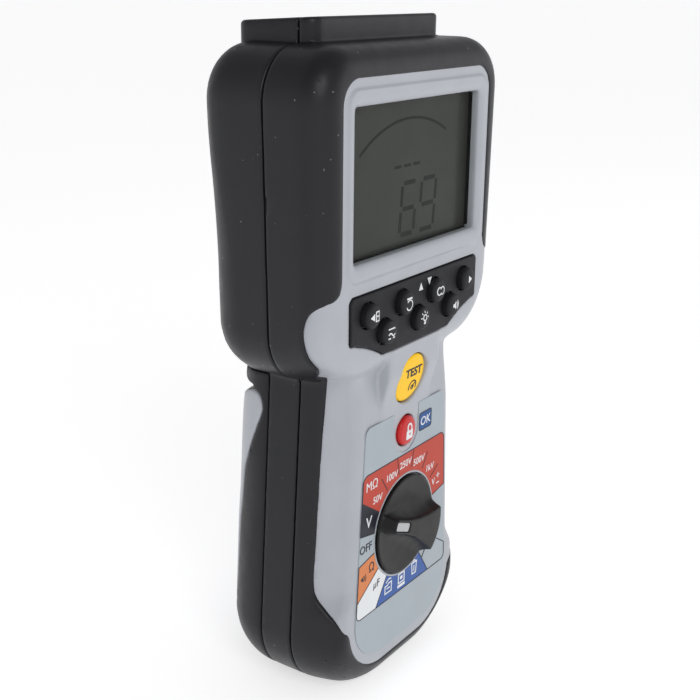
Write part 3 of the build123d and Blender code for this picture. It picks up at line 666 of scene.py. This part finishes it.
def lettering(text, height, centre, slant=0.0, spacing=1.0, bold=0.010):
    """Text with capitals of the given height, centred on a point."""
    curve = bpy.data.curves.new("text", "FONT")
    curve.body = text
    curve.size = height / 0.69
    curve.align_x = "CENTER"
    curve.shear = slant
    curve.space_character = spacing
    curve.offset = bold * height
    curve.extrude = 0.5
    curve.resolution_u = 4
    return taken_from(curve, (centre[0], centre[1] - height / 2))


def taken_from(curve, shift=(0.0, 0.0)):
    """Points (u, v, side) and faces of a curve's filled shape; side is 1 in front and -1 behind."""
    obj = bpy.data.objects.new(curve.name, curve)
    bpy.context.scene.collection.objects.link(obj)
    bpy.context.view_layer.update()
    mesh = bpy.data.meshes.new_from_object(obj.evaluated_get(bpy.context.evaluated_depsgraph_get()))
    points = [(v.co.x + shift[0], v.co.y + shift[1], 1 if v.co.z > 0 else -1) for v in mesh.vertices]
    faces = [list(f.vertices) for f in mesh.polygons]
    bpy.data.meshes.remove(mesh)
    bpy.data.objects.remove(obj)
    bpy.data.curves.remove(curve)
    return points, faces


def stroke(points, width, closed=False):
    """Loops round a line of the given width."""
    p = [np.array(q, float) for q in points]
    count = len(p)
    left, right = [], []
    for i, here in enumerate(p):
        before = p[i - 1] if closed or i > 0 else here
        after = p[(i + 1) % count] if closed or i < count - 1 else here
        d1 = (here - before) / (np.linalg.norm(here - before) or 1)
        d2 = (after - here) / (np.linalg.norm(after - here) or 1)
        along = (d1 + d2) / (np.linalg.norm(d1 + d2) or 1)
        normal = np.array((-along[1], along[0]))
        reach = width / 2 / max(0.5, float(np.dot(along, d2 if d2.any() else d1)))
        left.append(tuple(here + normal * reach))
        right.append(tuple(here - normal * reach))
    return [left, right] if closed else [left + right[::-1]]


def arc(radius, start, end, centre=(0.0, 0.0), count=24):
    """Points on a circle between two angles in degrees."""
    turns = np.radians(np.linspace(start, end, count))
    return [(centre[0] + radius * math.cos(t), centre[1] + radius * math.sin(t)) for t in turns]


def moved(points, shift, scale=1.0):
    return [(u * scale + shift[0], v * scale + shift[1]) for u, v in points]


def printed(name, shapes, surface, lift, material, body, depth=0.12):
    """Lays flat shapes on a surface, surface(x, z) being its Y, and makes them one thin piece."""
    vertices, faces = [], []
    for points, polygons in shapes:
        start = len(vertices)
        for u, v, side in points:
            y = surface(u, v) - lift + (0 if side > 0 else depth)
            vertices.append((u * MM, y * MM, v * MM))
        faces += [[i + start for i in polygon] for polygon in polygons]
    mesh = bpy.data.meshes.new(name)
    mesh.from_pydata(vertices, [], faces)
    mesh.validate()
    return place(name, mesh, material, body)


def on_label(name, shapes, lift, finish, depth=0.12):
    """Prints flat shapes on the label."""
    printed(name, shapes, lambda u, v: Y_LABEL, lift, MATERIALS[finish], "case", depth)


GROUP_LOW, GROUP_HIGH = 30.2, 82.7
GROUP_RING = 19.2  # where the coloured fields stop, round the knob
LINE = 0.34


def group_reach(turns):
    """How far the printed group reaches from the knob's axis at each angle, its corners rounded."""
    u, v = np.cos(turns), np.sin(turns)
    near, far = np.full_like(turns, 10.0), np.full_like(turns, 60.0)
    for _ in range(30):
        middle = (near + far) / 2
        z = KNOB[2] + v * middle
        half = 25.8 + 0.064 * (GROUP_HIGH - z)
        cap = np.abs(z - (GROUP_LOW + GROUP_HIGH) / 2) - (GROUP_HIGH - GROUP_LOW) / 2
        outside = edge(np.abs(u * middle) - half, cap, 2.4) > 0
        far = np.where(outside, middle, far)
        near = np.where(outside, near, middle)
    return near


def group_edge(start, end, inset=0.0):
    """The group's outer edge between two angles in degrees."""
    turns = np.radians(np.linspace(start, end, max(8, int(abs(end - start) * 1.5))))
    reach = group_reach(turns) - inset
    return [(r * math.cos(t), KNOB[2] + r * math.sin(t)) for r, t in zip(reach, turns)]


def sector(start, end):
    """One coloured field of the group, between two angles round the knob."""
    inner = arc(GROUP_RING, end, start, (0, KNOB[2]), max(6, int(abs(end - start) / 3)))
    return filled([group_edge(start, end) + inner])


def ray(turn, inner, outer):
    t = math.radians(turn)
    return [(r * math.cos(t), KNOB[2] + r * math.sin(t)) for r in (inner, outer)]


def at_range(position, radius):
    """Where the name of a range stands; positions count up from the right, 22.5 degrees apart."""
    t = math.radians(position * RANGE_STEP)
    return radius * math.cos(t), KNOB[2] + radius * math.sin(t)


def make_label_print():
    """The range group: coloured fields, outlines, range names and small signs."""
    half = RANGE_STEP / 2
    fields = {"ink_red": (1, 13), "ink_black": (13, 15), "ink_orange": (17, 19), "ink_white": (19, 21),
              "ink_blue": (21, 27)}
    for colour, (start, end) in fields.items():
        on_label(f"field_{colour}", [sector(start * half, end * half)], 0.04, colour)
    lines = [group_edge(half, 15 * half), group_edge(17 * half, 29 * half)]
    for turn in (half, 15 * half, 17 * half, 19 * half, 21 * half, 27 * half, 29 * half):
        outer = float(group_reach(np.array([math.radians(turn)]))[0])
        lines.append(ray(turn, GROUP_RING, outer))
    for turn in (3, 5, 7, 9, 11):
        lines.append(ray(turn * half, 20.4, 26.8))
    shapes = [filled(stroke(line, LINE)) for line in lines]
    shapes += [lettering("OFF", 2.9, (-23.9, 56.3)), lettering("µF", 2.7, (-17.2, 39.9), 0.1)]
    shapes += [lettering("Ω", 3.2, (-20.3, 47.8))]
    shapes += speaker_sign((-25.2, 45.2), 0.62)
    shapes += [filled(stroke([(12.9, 37.0), (15.0, 39.6), (16.6, 40.0)], 0.55))]
    on_label("label_lines", shapes, 0.10, "ink_black", 0.16)
    names = {5: "100V", 4: "250V", 3: "500V"}
    marks = [lettering(text, 2.45, at_range(position, 22.9), 0.08) for position, text in names.items()]
    marks += [lettering("50V", 2.45, (-17.4, 72.2), 0.08), lettering("1kV", 2.45, (16.4, 71.8), 0.08)]
    marks += [lettering("V", 2.45, (19.3, 65.0), 0.08), lettering("MΩ", 3.2, (-20.9, 78.4), 0.05, 1.0, 0.0)]
    marks += [filled(stroke(line, 0.45)) for line in (
        [(21.6, 66.6), (23.6, 66.6)], [(22.6, 65.6), (22.6, 67.6)], [(21.6, 63.6), (23.6, 63.6)])]
    marks += [lettering("V", 3.9, (-22.6, 65.4), 0.1)]
    marks += folder_sign((-9.5, 35.6)) + screen_sign((-0.9, 34.2)) + bin_sign((7.7, 35.6))
    on_label("label_names", marks, 0.11, "ink_white", 0.17)


def make_ring():
    """Pale ring round the knob's pocket, standing on the label."""
    ring = filled([arc(GROUP_RING - 0.1, 0, 354, (0, KNOB[2]), 60), arc(18.6, 0, 354, (0, KNOB[2]), 60)])
    on_label("knob_ring", [ring], 0.14, "grey", 0.5)


def make_ok_sign():
    """Blue sign beside the lock button."""
    outline = rounded(box_outline(8.4, 88.2, 16.4, 94.6), 0.9)
    on_label("sign_field", [filled([outline])], 0.04, "ink_sign")
    on_label("sign_edge", [filled(stroke(outline, 0.4, True))], 0.08, "ink_black")
    on_label("sign_text", [lettering("OK", 3.1, (12.4, 91.4), 0.1)], 0.09, "ink_white")


def rounded(corners, radius, steps=5):
    """A convex outline with its corners rounded."""
    p = [np.array(q, float) for q in corners]
    loop = []
    for before, here, after in zip([p[-1]] + p[:-1], p, p[1:] + [p[0]]):
        start = here + (before - here) / np.linalg.norm(before - here) * radius
        end = here + (after - here) / np.linalg.norm(after - here) * radius
        for i in range(steps + 1):
            t = i / steps
            loop.append(tuple(start * (1 - t) ** 2 + here * 2 * t * (1 - t) + end * t * t))
    return loop


def box_outline(u0, v0, u1, v1):
    return [(u0, v0), (u1, v0), (u1, v1), (u0, v1)]


def speaker_sign(centre, scale=1.0):
    horn = [(-2.2, -0.8), (-1.1, -0.8), (0.2, -2.0), (0.2, 2.0), (-1.1, 0.8), (-2.2, 0.8)]
    waves = [arc(r, -42, 42, (-0.6, 0), 8) for r in (2.0, 3.1)]
    shapes = [filled([moved(horn, centre, scale)])]
    return shapes + [filled(stroke(moved(wave, centre, scale), 0.5 * scale)) for wave in waves]


def folder_sign(centre):
    body = [(-2.0, -2.6), (2.0, -2.6), (2.2, 0.9), (0.2, 0.9), (-0.3, 0.3), (-2.0, 0.3)]
    arrow = [(-1.4, 1.6), (0.4, 2.6), (1.9, 2.2)]
    slot = [(-1.0, -0.9), (1.2, -0.9)]
    return [filled(stroke(moved(line, centre), 0.5, line is body)) for line in (body, arrow, slot)]


def screen_sign(centre):
    screen = box_outline(-1.9, -0.9, 1.9, 2.6)
    base = box_outline(-2.4, -2.7, 2.4, -1.6)
    dot = box_outline(-0.8, 0.2, 0.8, 1.5)
    shapes = [filled(stroke(moved(screen, centre), 0.55, True))]
    return shapes + [filled([moved(shape, centre)]) for shape in (base, dot)]


def bin_sign(centre):
    can = [(-1.6, 1.4), (-1.2, -2.6), (1.2, -2.6), (1.6, 1.4)]
    lid = [(-2.1, 1.7), (2.1, 1.7)]
    grip = arc(0.9, 20, 160, (0, 1.7), 6)
    rib = [(0.0, -1.8), (0.0, 0.6)]
    return [filled(stroke(moved(line, centre), 0.5)) for line in (can, lid, grip, rib)]


def padlock_sign(centre, scale=1.0):
    """A white padlock, as a body with a keyhole and a shackle."""
    body = rounded(box_outline(-1.9, -2.7, 1.9, 0.4), 0.3)
    hole = arc(0.5, 0, 330, (0, -0.9), 10)
    shackle = [(-1.15, 0.2), (-1.15, 1.3), *arc(1.15, 170, 10, (0, 1.4), 9), (1.15, 1.3), (1.15, 0.2)]
    shapes = [filled([moved(body, centre, scale), moved(hole, centre, scale)])]
    return shapes + [filled(stroke(moved(shackle, centre, scale), 0.62 * scale))]


def key_sign(name):
    """The small sign on each key, drawn about the key's centre."""
    left = [(-2.6, 0.0), (-0.5, 1.2), (-0.5, -1.2)]
    right = [(1.2, 0.0), (-0.7, 1.3), (-0.7, -1.3)]
    if name == "key_left":
        page = box_outline(0.3, -1.5, 2.0, 1.5)
        line = [(0.3, 0.1), (2.0, 0.1)]
        return [filled([left]), filled(stroke(page, 0.4, True)), filled(stroke(line, 0.4))]
    if name == "key_right":
        return [filled([right])]
    if name == "key_test_mode":
        loop = arc(1.7, 200, 500, (0.0, -0.6), 14)
        return [filled(stroke(loop, 0.4)), filled(stroke([(-1.5, 1.6), (1.5, 1.6)], 0.6))]
    if name == "key_select":
        loops = [arc(1.3, 60, 330, (-0.9, 0), 12), arc(1.3, -120, 150, (0.9, 0), 12)]
        return [filled(stroke(loop, 0.4)) for loop in loops]
    if name == "key_rms":
        wave = [(t - 1.8, -0.6 + 0.55 * math.sin(t * 1.75)) for t in np.linspace(0, 3.6, 12)]
        bars = [[(-1.8, 1.3), (1.8, 1.3)], [(-1.8, -1.8), (-0.6, -1.8)], [(0.6, -1.8), (1.8, -1.8)]]
        return [filled(stroke(line, 0.45)) for line in [wave, *bars]]
    if name == "key_backlight":
        rays = [[(r * math.cos(t), 0.3 + r * math.sin(t)) for r in (1.6, 2.3)]
                for t in np.radians([0, 45, 90, 135, 180])]
        bulb = arc(1.0, 0, 340, (0, 0.3), 14)
        shapes = [filled(stroke(bulb, 0.4, True)), filled([box_outline(-0.5, -1.9, 0.5, -1.0)])]
        return shapes + [filled(stroke(line, 0.36)) for line in rays]
    return speaker_sign((0.2, 0.0), 0.72)


def make_signs():
    """Signs on the keys, the pad and both buttons."""
    for name in KEYS_UPPER + KEYS_LOWER:
        x, _, z = node_centre(name)
        sign = []
        for points, faces in key_sign(name):
            sign.append(([(u + x, v + z, side) for u, v, side in points], faces))
        printed(f"{name}_sign", sign, lambda u, v, x=x, z=z: key_surface(u - x, v - z), 0.08,
                MATERIALS["ink_white"], name, 0.2)
    up = [(0.1, 141.2), (2.7, 141.2), (1.4, 143.7)]
    down = [(5.4, 144.5), (8.0, 144.5), (6.7, 142.0)]
    printed("pad_arrows", [filled([up]), filled([down])], lambda u, v: Y_FACE - 0.25, 0.08,
            MATERIALS["ink_white"], "case")
    words = [lettering("TEST", 3.2, (1.9, 112.5), -0.22, 1.0, 0.04)]
    gauge, needle = arc(2.2, 205, -25, (2.6, 106.6), 14), [(2.6, 106.4), (3.9, 107.8)]
    words += [filled(stroke(line, 0.5)) for line in (gauge, needle)]
    words += [filled(stroke(arc(0.7, 0, 340, (2.6, 106.4), 8), 0.5, True))]
    printed("test_words", words, lambda u, v: test_surface(u, v - TEST[2]), 0.08,
            MATERIALS["ink_black"], "test_button")
    lock = padlock_sign((0.4, LOCK[2] - 0.2), 1.05)
    printed("lock_sign", lock, lambda u, v: lock_surface(u, v - LOCK[2]), 0.08,
            MATERIALS["ink_white"], "lock_button")


# ---- display ----------------------------------------------------------------------------------------------
Y_PANE = -24.9
Y_LCD = -22.3


def display_layer(name, loops, front, finish, depth, node):
    """A flat layer of the display, standing for a CAD node."""
    layer = printed(name, [filled(loops)], lambda u, v: front, 0.0, MATERIALS[finish], "case", depth)
    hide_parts(node)


def make_display():
    """Clear window, dark surround and the liquid crystal panel with its reading."""
    opening = rounded(box_outline(-38.0, 155.2, 38.0, 204.4), 1.6)
    display_layer("window_pane", [opening], Y_PANE, "clear", 1.2, "display_window")
    inner = box_outline(-36.7, 156.5, 36.7, 203.1)
    outer = box_outline(-40.6, 152.0, 40.6, 207.6)
    display_layer("lcd_surround", [outer, inner], Y_PANE + 1.3, "black", 5.6, "lcd_frame")
    panel = box_outline(-38.0, 155.0, 38.0, 204.6)
    display_layer("lcd_panel", [panel], Y_LCD, "lcd", 1.6, "lcd_glass")
    shapes = [filled(stroke(arc(48.0, 126, 62, (-0.5, 149.0), 40), 0.9))]
    shapes += [filled([box_outline(x, 181.7, x + 4.0, 182.7)]) for x in (-9.1, -3.4, 2.0)]
    shapes += digit("acdefg", (-5.4, 160.0), 8.4, 16.6) + digit("abcdfg", (6.3, 159.8), 9.0, 16.8)
    printed("lcd_segments", shapes, lambda u, v: Y_LCD, 0.04, MATERIALS["lcd_ink"], "case", 0.08)


def digit(lit, corner, width, height):
    """Seven-segment digit with a slight slant."""
    half = height / 2
    ends = {
        "a": ((0, height), (width, height)),
        "b": ((width, height), (width, half)),
        "c": ((width, half), (width, 0)),
        "d": ((0, 0), (width, 0)),
        "e": ((0, 0), (0, half)),
        "f": ((0, half), (0, height)),
        "g": ((0, half), (width, half)),
    }
    shapes = []
    for name in lit:
        start, end = (np.array(p, float) for p in ends[name])
        along = (end - start) / np.linalg.norm(end - start)
        line = [start + along * 0.9, end - along * 0.9]
        line = [(corner[0] + u + 0.09 * v, corner[1] + v) for u, v in line]
        shapes.append(filled(stroke(line, 1.5)))
    return shapes


# ---- stage ------------------------------------------------------------------------------------------------
FLOOR_HALF = 30.0


def make_floor():
    """A wide pale floor that glows a little."""
    mesh = bpy.data.meshes.new("floor")
    corners = [(u, v, 0) for u, v in box_outline(-FLOOR_HALF, -FLOOR_HALF, FLOOR_HALF, FLOOR_HALF)]
    mesh.from_pydata(corners, [], [(0, 1, 2, 3)])
    floor = bpy.data.objects.new("floor", mesh)
    bpy.context.scene.collection.objects.link(floor)
    paper = moulded("studio_floor", (0.90, 0.90, 0.90), 0.75, mottle=0.003, depth=0.0,
                    Emission_Strength=0.56)
    mesh.materials.append(paper)


def area_light(name, place_at, target, size, power):
    """A round soft light turned to its target."""
    data = bpy.data.lights.new(name, "AREA")
    data.shape = "DISK"
    data.size = size
    data.energy = power
    light = bpy.data.objects.new(name, data)
    bpy.context.scene.collection.objects.link(light)
    light.location = place_at
    direction = Vector(target) - Vector(place_at)
    light.rotation_euler = direction.to_track_quat("-Z", "Y").to_euler()


def make_studio():
    """Pale surroundings, lightest at the horizon, and two soft lights."""
    world = bpy.data.worlds.new("studio")
    bpy.context.scene.world = world
    world.use_nodes = True
    tree = world.node_tree
    coords = tree.nodes.new("ShaderNodeTexCoord")
    parts = tree.nodes.new("ShaderNodeSeparateXYZ")
    tree.links.new(coords.outputs["Generated"], parts.inputs["Vector"])
    height = mapped(tree, parts.outputs["Z"], 0, 1, 0.0, 0.8)
    shade = mixed(tree, height, (0.85, 0.85, 0.86), (0.30, 0.30, 0.31))
    tree.links.new(shade, tree.nodes["Background"].inputs["Color"])
    middle = (0, 0, 0.12)
    area_light("key", (-0.7, -0.9, 0.9), middle, 0.7, 4.0)
    area_light("fill", (0.9, -0.8, 0.5), middle, 0.8, 1.2)
    bpy.context.scene.view_settings.view_transform = "Standard"


CAMERA_AT = (-0.3115, -0.2153, 0.2380)
CAMERA_TURN = (72.09, -0.60, -55.13)  # degrees about X, Y and Z
CAMERA_LENS, CAMERA_SENSOR = 58.83, 36.0


def make_camera():
    """Looks at the front from the left and a little above."""
    data = bpy.data.cameras.new("camera")
    data.sensor_width = CAMERA_SENSOR
    data.lens = CAMERA_LENS
    camera = bpy.data.objects.new("camera", data)
    bpy.context.scene.collection.objects.link(camera)
    camera.location = CAMERA_AT
    camera.rotation_euler = [math.radians(turn) for turn in CAMERA_TURN]
    bpy.context.scene.camera = camera


finish_cad_nodes()
make_front_skin()
make_front_case()
make_rear_skin()
make_battery_cover()
make_keypad()
for key in KEYS_UPPER + KEYS_LOWER:
    make_key(key)
make_button("test_button", 8.7, test_surface, MATERIALS["yellow"])
make_button("lock_button", 5.25, lock_surface, MATERIALS["red"])
make_knob()
make_label_print()
make_ring()
make_ok_sign()
make_signs()
make_display()
make_floor()
make_studio()
make_camera()
